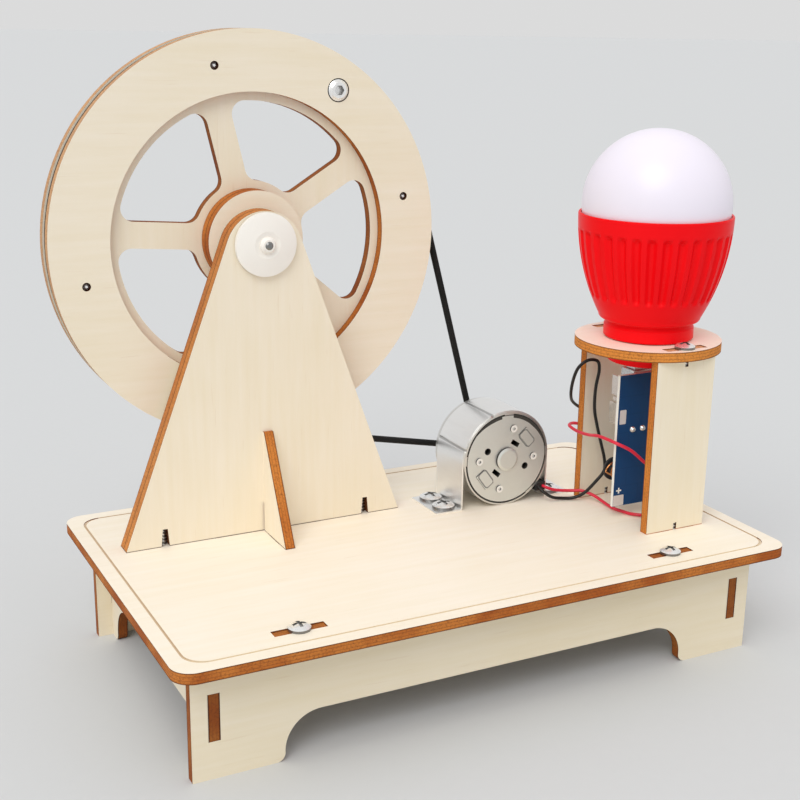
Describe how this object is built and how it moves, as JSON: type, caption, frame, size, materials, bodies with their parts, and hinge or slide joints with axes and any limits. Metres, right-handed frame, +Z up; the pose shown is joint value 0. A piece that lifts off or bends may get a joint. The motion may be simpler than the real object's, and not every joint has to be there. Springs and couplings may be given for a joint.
{
  "type": "hand crank generator",
  "caption": "Hand crank generator kit: a spoked plywood wheel turns a small flat motor by a round belt, and the current lights a USB bulb on a plywood stand.",
  "frame": {"origin": "on the floor under the middle of the whole object's bounding box", "axes": "+X along the deck from the wheel to the lamp, +Y from the side shown in the picture to the crank grip, +Z up"},
  "size_m": [0.2056, 0.1358, 0.192],
  "materials": {
    "plywood": "matte",
    "screw_steel": "satin",
    "axle_steel": "polished",
    "white_plastic": "satin",
    "grip_wood": "satin",
    "belt_rubber": "matte",
    "motor_metal": "satin",
    "bronze": "satin",
    "magnet": "matte",
    "copper": "polished",
    "black_plastic": "matte",
    "ferrite": "matte",
    "circuit_board": "satin",
    "connector_metal": "satin",
    "red_wire": "satin",
    "black_wire": "satin",
    "red_plastic": "satin",
    "dome_plastic": "satin",
    "led_board": "matte"
  },
  "bodies": {
    "frame": {"deck_plate": "plywood", "front_apron": "plywood", "rear_apron": "plywood", "left_end_board": "plywood", "right_end_board": "plywood", "stand_front_board": "plywood", "stand_rear_board": "plywood", "stand_brace": "plywood", "lamp_front_post": "plywood", "lamp_rear_post": "plywood", "lamp_disc": "plywood", "deck_screws": "screw_steel", "stand_screws": "screw_steel", "strap_screws": "screw_steel", "disc_screws": "screw_steel", "post_screws": "screw_steel", "motor_brush_plate": "white_plastic", "socket_tongue": "white_plastic", "drive_belt": "belt_rubber", "motor_can": "motor_metal", "motor_end_cap": "motor_metal", "motor_strap": "motor_metal", "motor_bearings": "bronze", "motor_magnet": "magnet", "inductor_winding": "copper", "motor_terminals": "black_plastic", "board_parts": "black_plastic", "inductor_core": "ferrite", "usb_board": "circuit_board", "usb_socket": "connector_metal", "red_wire": "red_wire", "black_wire": "black_wire"},
    "wheel": {"axle": "axle_steel", "front_axle_cap": "white_plastic", "rear_axle_cap": "white_plastic", "front_hub_disc": "plywood", "rear_hub_disc": "plywood", "front_ring": "plywood", "spoke_disc": "plywood", "rear_ring": "plywood", "ring_screws": "screw_steel", "crank_bolt": "screw_steel", "crank_nut": "screw_steel", "crank_end_nut": "screw_steel"},
    "grip": {"crank_grip": "grip_wood"},
    "rotor": {"motor_shaft": "axle_steel", "motor_core": "magnet", "motor_coils": "copper", "motor_commutator": "bronze", "motor_pulley": "white_plastic"},
    "bulb": {"bulb_cup": "red_plastic", "bulb_dome": "dome_plastic", "bulb_led_board": "led_board", "bulb_plug_shell": "connector_metal", "bulb_plug_insert": "white_plastic"}
  },
  "joints": [
    {"name": "wheel_spin", "type": "hinge", "parent": "frame", "child": "wheel", "pos_m": [-0.04025, 0.0179, 0.1295], "axis": [0, 1, 0], "continuous": true},
    {"name": "grip_spin", "type": "hinge", "parent": "wheel", "child": "grip", "pos_m": [-0.01138, 0.0371, 0.17395], "axis": [0, 1, 0], "continuous": true},
    {"name": "rotor_spin", "type": "hinge", "parent": "frame", "child": "rotor", "pos_m": [0.04075, 0.0121, 0.0538], "axis": [0, 1, 0], "continuous": true},
    {"name": "bulb_lift", "type": "slide", "parent": "frame", "child": "bulb", "axis": [0, 0, 1], "range_m": [0, 0.025]}
  ],
  "couplings": [
    {"joint": "rotor_spin", "follows": "wheel_spin", "ratio": 19.344}
  ]
}
